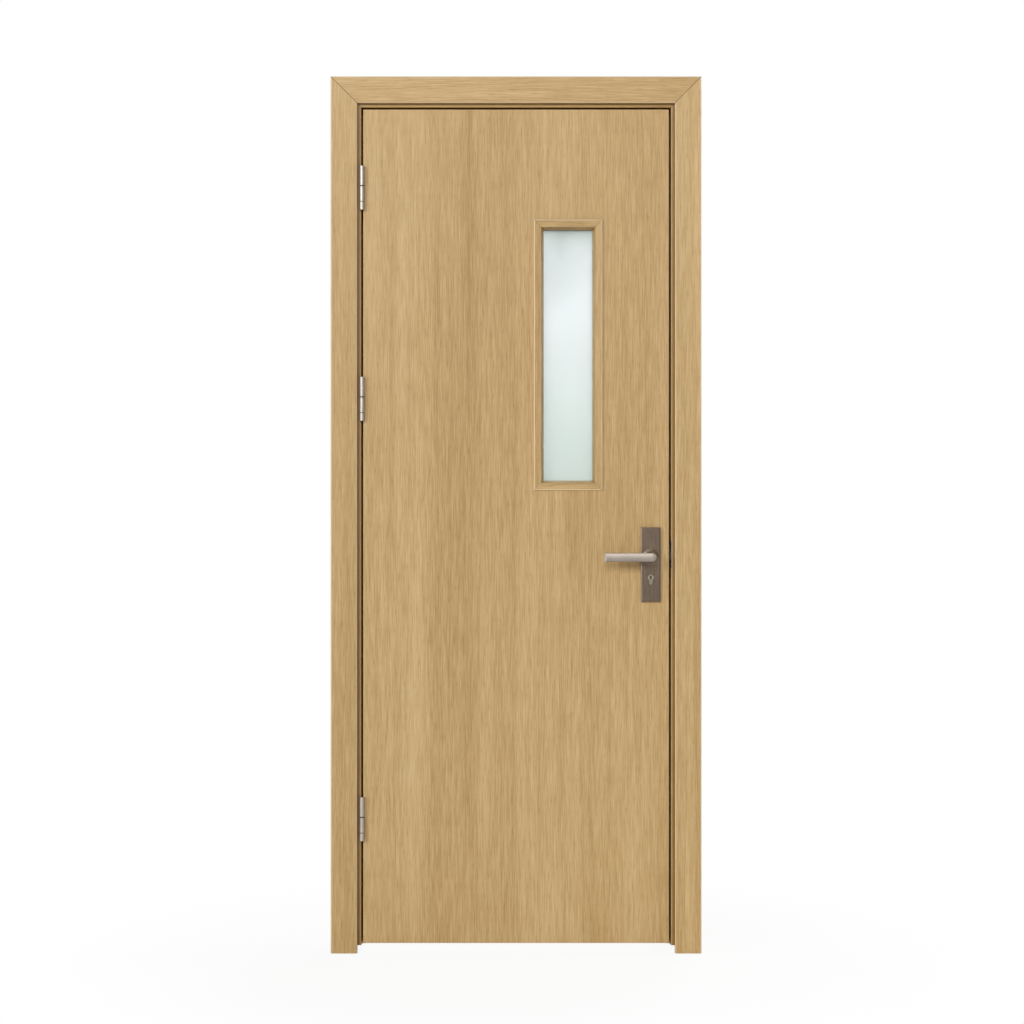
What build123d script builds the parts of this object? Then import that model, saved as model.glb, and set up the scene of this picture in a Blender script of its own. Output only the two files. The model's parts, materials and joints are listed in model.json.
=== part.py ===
"""Glazed door in its lining: flush leaf, vision panel, lift-off hinges, lever set, mitred architraves.

Millimetres. X runs from the hinge side to the lock side, -Y is the front, Z is up.
The origin lies on the wall face of the hinge jamb, in the middle of the lining's depth, on the metre line:
the setting-out height one metre above the floor.
"""

import os

from build123d import *

os.makedirs("parts", exist_ok=True)

# Height of the origin above the floor
METRE_LINE = 1000.0

# Leaf
LEAF_W = 748.0
LEAF_H = 2040.0
LEAF_T = 45.0
SKIN_T = 4.0
LEAF_ARRIS = 2.0
HINGE_STILE_W = 60.0
LOCK_STILE_W = 120.0
RAIL_H = 90.0

# Clearances round the leaf
EDGE_GAP = 5.0
STOP_GAP = 5.0
LEAF_FOOT = 23.0
SEAL_CLEAR = 0.4

# Lining
LINING_D = 120.0
REBATE_T = 32.0
STOP_H = 13.0
JAMB_FOOT = 18.0
LINING_ARRIS = 1.5

# Architraves
ARCH_W = 65.0
ARCH_T = 12.0
ARCH_R = 4.0
QUIRK = 9.0
TONGUE_T = 6.0
TONGUE_D = 14.0
TONGUE_INSET = 9.0
GROOVE_SPARE = 1.0
MITRE_GAP = 0.5

# Seal in a kerf of the stop
SEAL_W = 9.0
SEAL_R = 3.5
STEM_W = 2.5
STEM_D = 6.0
KERF_SPARE = 1.0

# Vision panel
SIGHT_W = 120.0
SIGHT_H = 614.0
VISION_FROM_LOCK = 246.5
VISION_FROM_TOP = 601.0
GLASS_T = 6.0
GLASS_EDGE = 11.0
APERTURE_EDGE = 13.0
GASKET_T = 2.0
GASKET_EDGE = 9.0
BEAD_FACE = 18.0
BEAD_SPLAY = 6.0
BEAD_PROUD = 6.0
BEAD_R = 2.5
BEAD_INNER_R = 1.0

# Hinges
HINGE_FROM_TOP = (193.0, 708.5)
HINGE_FROM_FOOT = 305.0
AXIS_FORWARD = 8.5
BARREL_R = 6.0
UPPER_KNUCKLE = 48.0
WASHER_T = 3.0
LOWER_KNUCKLE = 36.0
CAP_GROOVE = 1.5
CAP_L = 19.5
NECK_DEPTH = 1.3
BARREL_CHAMFER = 0.8
PIN_R = 3.5
PIN_RISE = 40.0
PIN_CLEAR = 0.05
PIN_TIP_SPACE = 1.0
FLAP_T = 3.0
FLAP_D = 30.0
FLAP_INSET = 4.0
FLAP_R = 6.0
WASHER_R = 5.2
WASHER_CLEAR = 0.3

# Lever set
BACKSET = 45.0
SPINDLE_FROM_FOOT = 945.0
SPINDLE_A = 8.0
SOCKET_CLEAR = 0.05
SOCKET_DEPTH = 16.0
PLATE_W = 48.0
PLATE_H = 182.0
PLATE_T = 8.0
PLATE_DROP = 18.5
PLATE_BEVEL_W = 3.0
PLATE_BEVEL_D = 1.1
COLLAR_R = 20.5
COLLAR_H = 3.0
COLLAR_BEVEL_W = 6.0
COLLAR_BEVEL_D = 2.2
NECK_R = 8.5
NECK_CLEAR = 0.08
NECK_CHAMFER = 1.5
NECK_FOOT = 1.0
LEVER_REACH = 115.0
LEVER_H = 21.5
LEVER_T = 10.0
LEVER_PROJECTION = 58.0
LEVER_CROWN = 1.5
LEVER_ROUND = 2.0
LEVER_BEVEL_L = 6.0
LEVER_BEVEL_D = 3.0

# Cylinder
CENTRES = 50.0
CYL_R = 8.5
CYL_TAIL_W = 10.0
CYL_DROP = 18.0
CYL_PROUD = 3.0
CYL_ARRIS = 0.6
CYL_CLEAR = 0.3
PLUG_R = 6.5
PLUG_L = 14.0
PLUG_PROUD = 0.5
PLUG_CLEAR = 0.05
KEYWAY_W = 3.0
KEYWAY_H = 9.0
KEYWAY_D = 11.0

# Lock and strike
FOREND_W = 22.0
FOREND_T = 3.0
FOREND_ABOVE = 70.0
FOREND_BELOW = 130.0
CASE_T = 15.0
CASE_D = 80.0
CASE_INSET = 20.0
CASE_CLEAR = 0.5
FOLLOWER_R = 7.0
LATCH_RISE = 6.0
LATCH_W = 12.0
LATCH_H = 17.0
BOLT_H = 24.0
BOLT_L = 30.0
BOLT_PROUD = 1.0
LATCH_NOSE = 3.0
LATCH_BEVEL = 10.0
BOLT_CLEAR = 0.3
STRIKE_W = 24.0
STRIKE_T = 2.0
STRIKE_ABOVE = 45.0
STRIKE_BELOW = 95.0
LIP_H = 66.0
LIP_WRAP = 3.5
POCKET_W = 15.0
POCKET_MARGIN = 4.0
POCKET_D = 18.0

# Places that follow from the sizes
LEAF_X0 = REBATE_T + EDGE_GAP
LEAF_X1 = LEAF_X0 + LEAF_W
LOCK_REBATE_X = LEAF_X1 + EDGE_GAP
LINING_W = LOCK_REBATE_X + REBATE_T
FLOOR_Z = -METRE_LINE
LEAF_Z0 = FLOOR_Z + LEAF_FOOT
LEAF_Z1 = LEAF_Z0 + LEAF_H
LINING_TOP = LEAF_Z1 + EDGE_GAP + REBATE_T
FRONT_Y = -LINING_D / 2
BACK_Y = LINING_D / 2
LEAF_BACK_Y = FRONT_Y + LEAF_T
MID_Y = FRONT_Y + LEAF_T / 2
STOP_Y = LEAF_BACK_Y + STOP_GAP
CORE_Y0 = FRONT_Y + SKIN_T
CORE_Y1 = LEAF_BACK_Y - SKIN_T
STILE_X0 = LEAF_X0 + HINGE_STILE_W
STILE_X1 = LEAF_X1 - LOCK_STILE_W
VISION_X = LEAF_X1 - VISION_FROM_LOCK
VISION_Z = LEAF_Z1 - VISION_FROM_TOP
AXIS_X = REBATE_T + EDGE_GAP / 2
AXIS_Y = FRONT_Y - AXIS_FORWARD
HINGE_L = UPPER_KNUCKLE + WASHER_T + LOWER_KNUCKLE + CAP_GROOVE + CAP_L
HINGE_Z = [LEAF_Z1 - drop for drop in HINGE_FROM_TOP] + [LEAF_Z0 + HINGE_FROM_FOOT]
HINGE_NAMES = ("upper", "middle", "lower")
SPINDLE_X = LEAF_X1 - BACKSET
SPINDLE_Z = LEAF_Z0 + SPINDLE_FROM_FOOT
PLATE_Z = SPINDLE_Z - PLATE_DROP
CYL_Z = SPINDLE_Z - CENTRES
LATCH_Z = SPINDLE_Z + LATCH_RISE
BOLT_Z = CYL_Z - CYL_DROP
FOREND_Z0 = SPINDLE_Z - FOREND_BELOW
FOREND_Z1 = SPINDLE_Z + FOREND_ABOVE


def save(shape, name):
    """One named piece in one file."""
    shape.label = name
    export_step(shape, "parts/" + name + ".step")


def block(low, high, mode=Mode.ADD):
    """A block between two corners."""
    middle = [(a + b) / 2 for a, b in zip(low, high)]
    size = [b - a for a, b in zip(low, high)]
    with Locations(tuple(middle)):
        Box(*size, mode=mode)


def rod_y(radius, x, z, y0, y1, mode=Mode.ADD):
    """A round bar along Y."""
    with Locations(Location((x, (y0 + y1) / 2, z), (90, 0, 0))):
        Cylinder(radius, y1 - y0, mode=mode)


def rod_z(radius, x, y, z0, z1, mode=Mode.ADD):
    """A round bar along Z."""
    with Locations((x, y, (z0 + z1) / 2)):
        Cylinder(radius, z1 - z0, mode=mode)


def facing(x, y, z):
    """A sketch plane seen from the front: local X is X, local Y is Z."""
    return Plane(origin=(x, y, z), x_dir=(1, 0, 0), z_dir=(0, -1, 0))


def mitred(points, rounds, corners, index, gap=0.0, closed=False):
    """A length of moulding along one side of a frame, mitred with a hairline gap to its neighbours."""
    count = len(corners)
    start = corners[index]
    end = corners[(index + 1) % count]
    along = (end - start).normalized()
    joins = []
    if closed or index > 0:
        before = (start - corners[index - 1]).normalized()
        normal = (before + along).normalized()
        joins.append((start + normal * gap / 2, normal, Keep.TOP))
    if closed or index < count - 2:
        after = (corners[(index + 2) % count] - end).normalized()
        normal = (along + after).normalized()
        joins.append((end - normal * gap / 2, normal, Keep.BOTTOM))
    reach = max(abs(u) for u, v in points)
    kept_sides = [keep for corner, normal, keep in joins]
    first = reach if Keep.TOP in kept_sides else 0.0
    last = reach if Keep.BOTTOM in kept_sides else 0.0
    inward = Vector(0, 1, 0).cross(along)
    with BuildPart() as member:
        with BuildSketch(Plane(start - along * first, x_dir=inward, z_dir=along)) as section:
            Polygon(*points, align=None)
            for u, v, radius in rounds:
                fillet(section.vertices().sort_by_distance((u, v, 0))[0], radius)
        extrude(amount=(end - start).length + first + last)
        for corner, normal, keep in joins:
            split(bisect_by=Plane(corner, z_dir=normal), keep=keep)
    return member


def lining_corners(foot):
    """The wall face of the lining from a height above the floor: hinge side, head and lock side."""
    return [
        Vector(0, 0, FLOOR_Z + foot),
        Vector(0, 0, LINING_TOP),
        Vector(LINING_W, 0, LINING_TOP),
        Vector(LINING_W, 0, FLOOR_Z + foot),
    ]


def cylinder_outline(grow=0.0):
    """Round-topped cylinder profile with a narrower tail below."""
    tail = CYL_DROP - CYL_TAIL_W / 2
    Circle(CYL_R + grow)
    with Locations((0, -tail / 2)):
        Rectangle(CYL_TAIL_W + 2 * grow, tail)
    with Locations((0, -tail)):
        Circle(CYL_TAIL_W / 2 + grow)


def cut_cylinder(y0, y1):
    """The cylinder's way through a piece of the leaf."""
    with BuildSketch(facing(SPINDLE_X, y1, CYL_Z)) as way:
        cylinder_outline(CYL_CLEAR)
    extrude(way.sketch, amount=y1 - y0, mode=Mode.SUBTRACT)


# Lining: flat boards with a groove for the architrave on each side
STOP_U = REBATE_T + STOP_H
FRONT_EDGE_U = REBATE_T - QUIRK
BACK_EDGE_U = STOP_U - QUIRK
GROOVE_D = TONGUE_D + GROOVE_SPARE


def tongue_span(edge_u):
    """Where the tongue of an architrave lies, measured from the wall face."""
    return edge_u - TONGUE_INSET - TONGUE_T, edge_u - TONGUE_INSET


front_t0, front_t1 = tongue_span(FRONT_EDGE_U)
back_t0, back_t1 = tongue_span(BACK_EDGE_U)
lining_points = [
    (0, FRONT_Y),
    (front_t0, FRONT_Y),
    (front_t0, FRONT_Y + GROOVE_D),
    (front_t1, FRONT_Y + GROOVE_D),
    (front_t1, FRONT_Y),
    (REBATE_T, FRONT_Y),
    (REBATE_T, BACK_Y),
    (back_t1, BACK_Y),
    (back_t1, BACK_Y - GROOVE_D),
    (back_t0, BACK_Y - GROOVE_D),
    (back_t0, BACK_Y),
    (0, BACK_Y),
]
lining_rounds = [(REBATE_T, FRONT_Y, LINING_ARRIS)]
jambs = [mitred(lining_points, lining_rounds, lining_corners(JAMB_FOOT), side) for side in range(3)]

# Stops planted on the lining, with a kerf for the seal
KERF_U = REBATE_T + STOP_H / 2
KERF_Y = STOP_Y + STEM_D + KERF_SPARE
stop_points = [
    (REBATE_T, STOP_Y),
    (KERF_U - STEM_W / 2, STOP_Y),
    (KERF_U - STEM_W / 2, KERF_Y),
    (KERF_U + STEM_W / 2, KERF_Y),
    (KERF_U + STEM_W / 2, STOP_Y),
    (STOP_U, STOP_Y),
    (STOP_U, BACK_Y),
    (REBATE_T, BACK_Y),
]
stop_rounds = [(STOP_U, STOP_Y, LINING_ARRIS), (STOP_U, BACK_Y, LINING_ARRIS)]
with BuildPart() as door_stops:
    for side in range(3):
        add(mitred(stop_points, stop_rounds, lining_corners(JAMB_FOOT), side, gap=MITRE_GAP).part)
save(door_stops.part, "door_stops")

FLAP_H = HINGE_L - 2 * FLAP_INSET


def flap(x, z, mode=Mode.ADD):
    """A hinge flap, or the recess for it, with its two inner corners rounded."""
    foot = Plane(origin=(x, FRONT_Y, z - FLAP_H / 2), x_dir=(0, 1, 0), z_dir=(1, 0, 0))
    with BuildSketch(foot) as outline:
        Polygon((0, 0), (FLAP_D, 0), (FLAP_D, FLAP_H), (0, FLAP_H), align=None)
        for height in (0, FLAP_H):
            fillet(outline.vertices().sort_by_distance((FLAP_D, height, 0))[0], FLAP_R)
    extrude(outline.sketch, amount=FLAP_T, mode=mode)


with BuildPart() as hinge_jamb:
    add(jambs[0].part)
    for hinge_z in HINGE_Z:
        flap(REBATE_T - FLAP_T, hinge_z, mode=Mode.SUBTRACT)
save(hinge_jamb.part, "hinge_jamb")
save(jambs[1].part, "head_jamb")

# Strike plate with a lip round the arris of the lock jamb
strike_y0 = MID_Y - STRIKE_W / 2
strike_y1 = MID_Y + STRIKE_W / 2
strike_z0 = SPINDLE_Z - STRIKE_BELOW
strike_z1 = SPINDLE_Z + STRIKE_ABOVE
strike_x1 = LOCK_REBATE_X + STRIKE_T
lip_z0 = LATCH_Z - LIP_H / 2
lip_z1 = LATCH_Z + LIP_H / 2
strike_blocks = [
    ((LOCK_REBATE_X, strike_y0, strike_z0), (strike_x1, strike_y1, strike_z1)),
    ((LOCK_REBATE_X, FRONT_Y, lip_z0), (strike_x1, strike_y0, lip_z1)),
    ((LOCK_REBATE_X, FRONT_Y, lip_z0), (LOCK_REBATE_X + LIP_WRAP, FRONT_Y + STRIKE_T, lip_z1)),
]
pocket_y0 = MID_Y - POCKET_W / 2
pocket_y1 = MID_Y + POCKET_W / 2
pockets = []
for bolt_z, bolt_h in ((LATCH_Z, LATCH_H), (BOLT_Z, BOLT_H)):
    half = bolt_h / 2 + POCKET_MARGIN
    pockets.append((bolt_z - half, bolt_z + half))

with BuildPart() as lock_jamb:
    add(jambs[2].part)
    for low, high in strike_blocks:
        block(low, high, mode=Mode.SUBTRACT)
    for pocket_z0, pocket_z1 in pockets:
        pocket_low = (LOCK_REBATE_X, pocket_y0, pocket_z0)
        pocket_high = (strike_x1 + POCKET_D, pocket_y1, pocket_z1)
        block(pocket_low, pocket_high, mode=Mode.SUBTRACT)
save(lock_jamb.part, "lock_jamb")

with BuildPart() as strike_plate:
    for low, high in strike_blocks:
        block(low, high)
    for pocket_z0, pocket_z1 in pockets:
        slot_low = (LOCK_REBATE_X, pocket_y0, pocket_z0)
        slot_high = (strike_x1, pocket_y1, pocket_z1)
        block(slot_low, slot_high, mode=Mode.SUBTRACT)
    arris = strike_plate.edges().filter_by(Axis.Z).sort_by_distance((LOCK_REBATE_X, FRONT_Y, LATCH_Z))[0]
    fillet(arris, LINING_ARRIS)
save(strike_plate.part, "strike_plate")


# Architraves: a rounded board with a tongue in the lining's groove
def architrave(side, edge_u, face_y, outward):
    """One architrave; outward is -1 for the front of the wall and 1 for the back."""
    outer_u = edge_u - ARCH_W
    t0, t1 = tongue_span(edge_u)
    board_y = face_y + outward * ARCH_T
    tip_y = face_y - outward * TONGUE_D
    points = [
        (outer_u, face_y),
        (outer_u, board_y),
        (edge_u, board_y),
        (edge_u, face_y),
        (t1, face_y),
        (t1, tip_y),
        (t0, tip_y),
        (t0, face_y),
    ]
    rounds = [(outer_u, board_y, ARCH_R), (edge_u, board_y, ARCH_R)]
    return mitred(points, rounds, lining_corners(0.0), side, gap=MITRE_GAP)


for side, side_name in enumerate(("hinge", "head", "lock")):
    front_architrave = architrave(side, FRONT_EDGE_U, FRONT_Y, -1)
    save(front_architrave.part, "front_architrave_" + side_name)
    back_architrave = architrave(side, BACK_EDGE_U, BACK_Y, 1)
    save(back_architrave.part, "back_architrave_" + side_name)

# Seal in the stop's kerf, its bulb just clear of the closed leaf
seal_u0 = KERF_U - SEAL_W / 2
seal_u1 = KERF_U + SEAL_W / 2
seal_tip = LEAF_BACK_Y + SEAL_CLEAR
stem_y = STOP_Y + STEM_D
seal_points = [
    (seal_u0, STOP_Y),
    (seal_u0, seal_tip),
    (seal_u1, seal_tip),
    (seal_u1, STOP_Y),
    (KERF_U + STEM_W / 2, STOP_Y),
    (KERF_U + STEM_W / 2, stem_y),
    (KERF_U - STEM_W / 2, stem_y),
    (KERF_U - STEM_W / 2, STOP_Y),
]
seal_rounds = [(seal_u0, seal_tip, SEAL_R), (seal_u1, seal_tip, SEAL_R)]
with BuildPart() as frame_seal:
    for side in range(3):
        add(mitred(seal_points, seal_rounds, lining_corners(JAMB_FOOT), side).part)
save(frame_seal.part, "frame_seal")

# Leaf
aperture_x0 = VISION_X - SIGHT_W / 2 - APERTURE_EDGE
aperture_x1 = VISION_X + SIGHT_W / 2 + APERTURE_EDGE
aperture_z0 = VISION_Z - SIGHT_H / 2 - APERTURE_EDGE
aperture_z1 = VISION_Z + SIGHT_H / 2 + APERTURE_EDGE


def cut_aperture(y0, y1):
    """The vision panel's way through a piece of the leaf."""
    block((aperture_x0, y0, aperture_z0), (aperture_x1, y1, aperture_z1), mode=Mode.SUBTRACT)


def cut_flaps():
    """Recesses for the hinge flaps in the leaf's edge."""
    for z in HINGE_Z:
        flap(LEAF_X0, z, mode=Mode.SUBTRACT)


with BuildPart() as leaf_front_skin:
    block((LEAF_X0, FRONT_Y, LEAF_Z0), (LEAF_X1, CORE_Y0, LEAF_Z1))
    fillet(leaf_front_skin.faces().sort_by(Axis.Y)[0].edges(), LEAF_ARRIS)
    cut_aperture(FRONT_Y, CORE_Y0)
    cut_flaps()
    rod_y(FOLLOWER_R, SPINDLE_X, SPINDLE_Z, FRONT_Y, CORE_Y0, mode=Mode.SUBTRACT)
    cut_cylinder(FRONT_Y, CORE_Y0)
save(leaf_front_skin.part, "leaf_front_skin")

with BuildPart() as leaf_back_skin:
    block((LEAF_X0, CORE_Y1, LEAF_Z0), (LEAF_X1, LEAF_BACK_Y, LEAF_Z1))
    fillet(leaf_back_skin.faces().sort_by(Axis.Y)[-1].edges(), LEAF_ARRIS)
    cut_aperture(CORE_Y1, LEAF_BACK_Y)
    rod_y(FOLLOWER_R, SPINDLE_X, SPINDLE_Z, CORE_Y1, LEAF_BACK_Y, mode=Mode.SUBTRACT)
    cut_cylinder(CORE_Y1, LEAF_BACK_Y)
save(leaf_back_skin.part, "leaf_back_skin")

with BuildPart() as leaf_hinge_stile:
    block((LEAF_X0, CORE_Y0, LEAF_Z0), (STILE_X0, CORE_Y1, LEAF_Z1))
    cut_flaps()
save(leaf_hinge_stile.part, "leaf_hinge_stile")

case_x0 = LEAF_X1 - CASE_D
case_x1 = LEAF_X1 - FOREND_T
case_y0 = MID_Y - CASE_T / 2
case_y1 = MID_Y + CASE_T / 2
case_z0 = FOREND_Z0 + CASE_INSET
case_z1 = FOREND_Z1 - CASE_INSET
forend_low = (case_x1, MID_Y - FOREND_W / 2, FOREND_Z0)
forend_high = (LEAF_X1, MID_Y + FOREND_W / 2, FOREND_Z1)
with BuildPart() as leaf_lock_stile:
    block((STILE_X1, CORE_Y0, LEAF_Z0), (LEAF_X1, CORE_Y1, LEAF_Z1))
    block(forend_low, forend_high, mode=Mode.SUBTRACT)
    room_low = (case_x0 - CASE_CLEAR, case_y0 - CASE_CLEAR, case_z0 - CASE_CLEAR)
    room_high = (case_x1, case_y1 + CASE_CLEAR, case_z1 + CASE_CLEAR)
    block(room_low, room_high, mode=Mode.SUBTRACT)
    rod_y(FOLLOWER_R, SPINDLE_X, SPINDLE_Z, CORE_Y0, CORE_Y1, mode=Mode.SUBTRACT)
    cut_cylinder(CORE_Y0, CORE_Y1)
save(leaf_lock_stile.part, "leaf_lock_stile")

rail_spans = {
    "leaf_bottom_rail": (LEAF_Z0, LEAF_Z0 + RAIL_H),
    "leaf_top_rail": (LEAF_Z1 - RAIL_H, LEAF_Z1),
}
for rail_name, (rail_z0, rail_z1) in rail_spans.items():
    with BuildPart() as rail:
        block((STILE_X0, CORE_Y0, rail_z0), (STILE_X1, CORE_Y1, rail_z1))
    save(rail.part, rail_name)

with BuildPart() as leaf_core:
    block((STILE_X0, CORE_Y0, LEAF_Z0 + RAIL_H), (STILE_X1, CORE_Y1, LEAF_Z1 - RAIL_H))
    cut_aperture(CORE_Y0, CORE_Y1)
save(leaf_core.part, "leaf_core")

# Vision panel
glass_y0 = MID_Y - GLASS_T / 2
glass_y1 = MID_Y + GLASS_T / 2
with BuildPart() as glass_pane:
    with Locations((VISION_X, MID_Y, VISION_Z)):
        Box(SIGHT_W + 2 * GLASS_EDGE, GLASS_T, SIGHT_H + 2 * GLASS_EDGE)
save(glass_pane.part, "glass_pane")

gasket_middles = {
    "front_glazing_gasket": glass_y0 - GASKET_T / 2,
    "back_glazing_gasket": glass_y1 + GASKET_T / 2,
}
for gasket_name, gasket_y in gasket_middles.items():
    with BuildPart() as gasket:
        with Locations((VISION_X, gasket_y, VISION_Z)):
            Box(SIGHT_W + 2 * GASKET_EDGE, GASKET_T, SIGHT_H + 2 * GASKET_EDGE)
            Box(SIGHT_W, GASKET_T, SIGHT_H, mode=Mode.SUBTRACT)
    save(gasket.part, gasket_name)

sight_x = (VISION_X - SIGHT_W / 2, VISION_X + SIGHT_W / 2)
sight_z = (VISION_Z - SIGHT_H / 2, VISION_Z + SIGHT_H / 2)
sight_corners = [
    Vector(sight_x[0], MID_Y, sight_z[0]),
    Vector(sight_x[0], MID_Y, sight_z[1]),
    Vector(sight_x[1], MID_Y, sight_z[1]),
    Vector(sight_x[1], MID_Y, sight_z[0]),
]
bead_seat = GLASS_T / 2 + GASKET_T
bead_face = LEAF_T / 2
bead_crest = bead_face + BEAD_PROUD
bead_outer = -(BEAD_SPLAY + BEAD_FACE)
for outward, face_name in ((-1, "front"), (1, "back")):
    bead_points = [
        (bead_outer, outward * bead_face),
        (bead_outer, outward * bead_crest),
        (-BEAD_SPLAY, outward * bead_crest),
        (0, outward * bead_seat),
        (-APERTURE_EDGE, outward * bead_seat),
        (-APERTURE_EDGE, outward * bead_face),
    ]
    bead_rounds = [
        (bead_outer, outward * bead_crest, BEAD_R),
        (-BEAD_SPLAY, outward * bead_crest, BEAD_INNER_R),
    ]
    for side, side_name in enumerate(("hinge_side", "top", "lock_side", "bottom")):
        bead = mitred(bead_points, bead_rounds, sight_corners, side, gap=MITRE_GAP, closed=True)
        save(bead.part, face_name + "_bead_" + side_name)

# Hinges: the leaf's knuckle drops over a pin that stands in the frame's knuckle
for hinge_name, hinge_z in zip(HINGE_NAMES, HINGE_Z):
    foot_z = hinge_z - HINGE_L / 2
    groove_z = foot_z + CAP_L
    lower_z = groove_z + CAP_GROOVE
    washer_z = lower_z + LOWER_KNUCKLE
    upper_z = washer_z + WASHER_T
    top_z = upper_z + UPPER_KNUCKLE

    with BuildPart() as frame_half:
        rod_z(BARREL_R, AXIS_X, AXIS_Y, foot_z, groove_z)
        chamfer(frame_half.edges().group_by(Axis.Z)[0], BARREL_CHAMFER)
        rod_z(BARREL_R - NECK_DEPTH, AXIS_X, AXIS_Y, groove_z, lower_z)
        rod_z(BARREL_R, AXIS_X, AXIS_Y, lower_z, washer_z)
        rod_z(PIN_R, AXIS_X, AXIS_Y, washer_z, upper_z + PIN_RISE)
        flap(REBATE_T - FLAP_T, hinge_z)
        block((REBATE_T - FLAP_T, AXIS_Y, lower_z), (REBATE_T, FRONT_Y, washer_z))
    save(frame_half.part, hinge_name + "_hinge_frame_half")

    with BuildPart() as leaf_half:
        rod_z(BARREL_R, AXIS_X, AXIS_Y, upper_z, top_z)
        chamfer(leaf_half.edges().group_by(Axis.Z)[-1], BARREL_CHAMFER)
        flap(LEAF_X0, hinge_z)
        block((LEAF_X0, AXIS_Y, upper_z), (LEAF_X0 + FLAP_T, FRONT_Y, hinge_z + FLAP_H / 2))
        bore_top = upper_z + PIN_RISE + PIN_TIP_SPACE
        rod_z(PIN_R + PIN_CLEAR, AXIS_X, AXIS_Y, upper_z, bore_top, mode=Mode.SUBTRACT)
    save(leaf_half.part, hinge_name + "_hinge_leaf_half")

with BuildPart() as hinge_washers:
    for hinge_z in HINGE_Z:
        washer_z = hinge_z - HINGE_L / 2 + CAP_L + CAP_GROOVE + LOWER_KNUCKLE
        washer_top = washer_z + WASHER_T - WASHER_CLEAR
        rod_z(WASHER_R, AXIS_X, AXIS_Y, washer_z, washer_top)
        rod_z(PIN_R + PIN_CLEAR, AXIS_X, AXIS_Y, washer_z, washer_top, mode=Mode.SUBTRACT)
save(hinge_washers.part, "hinge_washers")

# Mortise lock with its forend, bolts drawn back
with BuildPart() as mortise_lock:
    block(forend_low, forend_high)
    block((case_x0, case_y0, case_z0), (case_x1, case_y1, case_z1))
    rod_y(FOLLOWER_R, SPINDLE_X, SPINDLE_Z, case_y0, case_y1, mode=Mode.SUBTRACT)
    cut_cylinder(case_y0, case_y1)
    for bolt_z, bolt_h in ((LATCH_Z, LATCH_H), (BOLT_Z, BOLT_H)):
        half_w = LATCH_W / 2 + BOLT_CLEAR
        half_h = bolt_h / 2 + BOLT_CLEAR
        way_low = (LEAF_X1 - BOLT_L, MID_Y - half_w, bolt_z - half_h)
        way_high = (LEAF_X1, MID_Y + half_w, bolt_z + half_h)
        block(way_low, way_high, mode=Mode.SUBTRACT)
save(mortise_lock.part, "mortise_lock")

bolt_x0 = LEAF_X1 - BOLT_L
bolt_x1 = LEAF_X1 + BOLT_PROUD
bolt_y0 = MID_Y - LATCH_W / 2
bolt_y1 = MID_Y + LATCH_W / 2
with BuildPart() as latch_bolt:
    with BuildSketch(Plane((0, 0, LATCH_Z - LATCH_H / 2))):
        Polygon(
            (bolt_x0, bolt_y0),
            (bolt_x1, bolt_y0),
            (bolt_x1, bolt_y0 + LATCH_NOSE),
            (bolt_x1 - LATCH_BEVEL, bolt_y1),
            (bolt_x0, bolt_y1),
            align=None,
        )
    extrude(amount=LATCH_H)
save(latch_bolt.part, "latch_bolt")

with BuildPart() as dead_bolt:
    block((bolt_x0, bolt_y0, BOLT_Z - BOLT_H / 2), (bolt_x1, bolt_y1, BOLT_Z + BOLT_H / 2))
save(dead_bolt.part, "dead_bolt")

# Handle plates and levers, the back set a mirror of the front about the leaf's middle
leaf_middle = Plane(origin=(0, MID_Y, 0), x_dir=(1, 0, 0), z_dir=(0, -1, 0))
plate_y = FRONT_Y - PLATE_T
collar_y = plate_y - COLLAR_H
with BuildPart() as front_handle_plate:
    with Locations((SPINDLE_X, (FRONT_Y + plate_y) / 2, PLATE_Z)):
        Box(PLATE_W, PLATE_T, PLATE_H)
    plate_face = front_handle_plate.faces().sort_by(Axis.Y)[0]
    chamfer(plate_face.edges(), PLATE_BEVEL_W, PLATE_BEVEL_D, reference=plate_face)
    rod_y(COLLAR_R, SPINDLE_X, SPINDLE_Z, collar_y, plate_y)
    collar_face = front_handle_plate.faces().sort_by(Axis.Y)[0]
    chamfer(collar_face.edges(), COLLAR_BEVEL_W, COLLAR_BEVEL_D, reference=collar_face)
    rod_y(NECK_R + NECK_CLEAR, SPINDLE_X, SPINDLE_Z, collar_y, FRONT_Y, mode=Mode.SUBTRACT)
    cut_cylinder(plate_y, FRONT_Y)
save(front_handle_plate.part, "front_handle_plate")
save(front_handle_plate.part.mirror(leaf_middle), "back_handle_plate")

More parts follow.
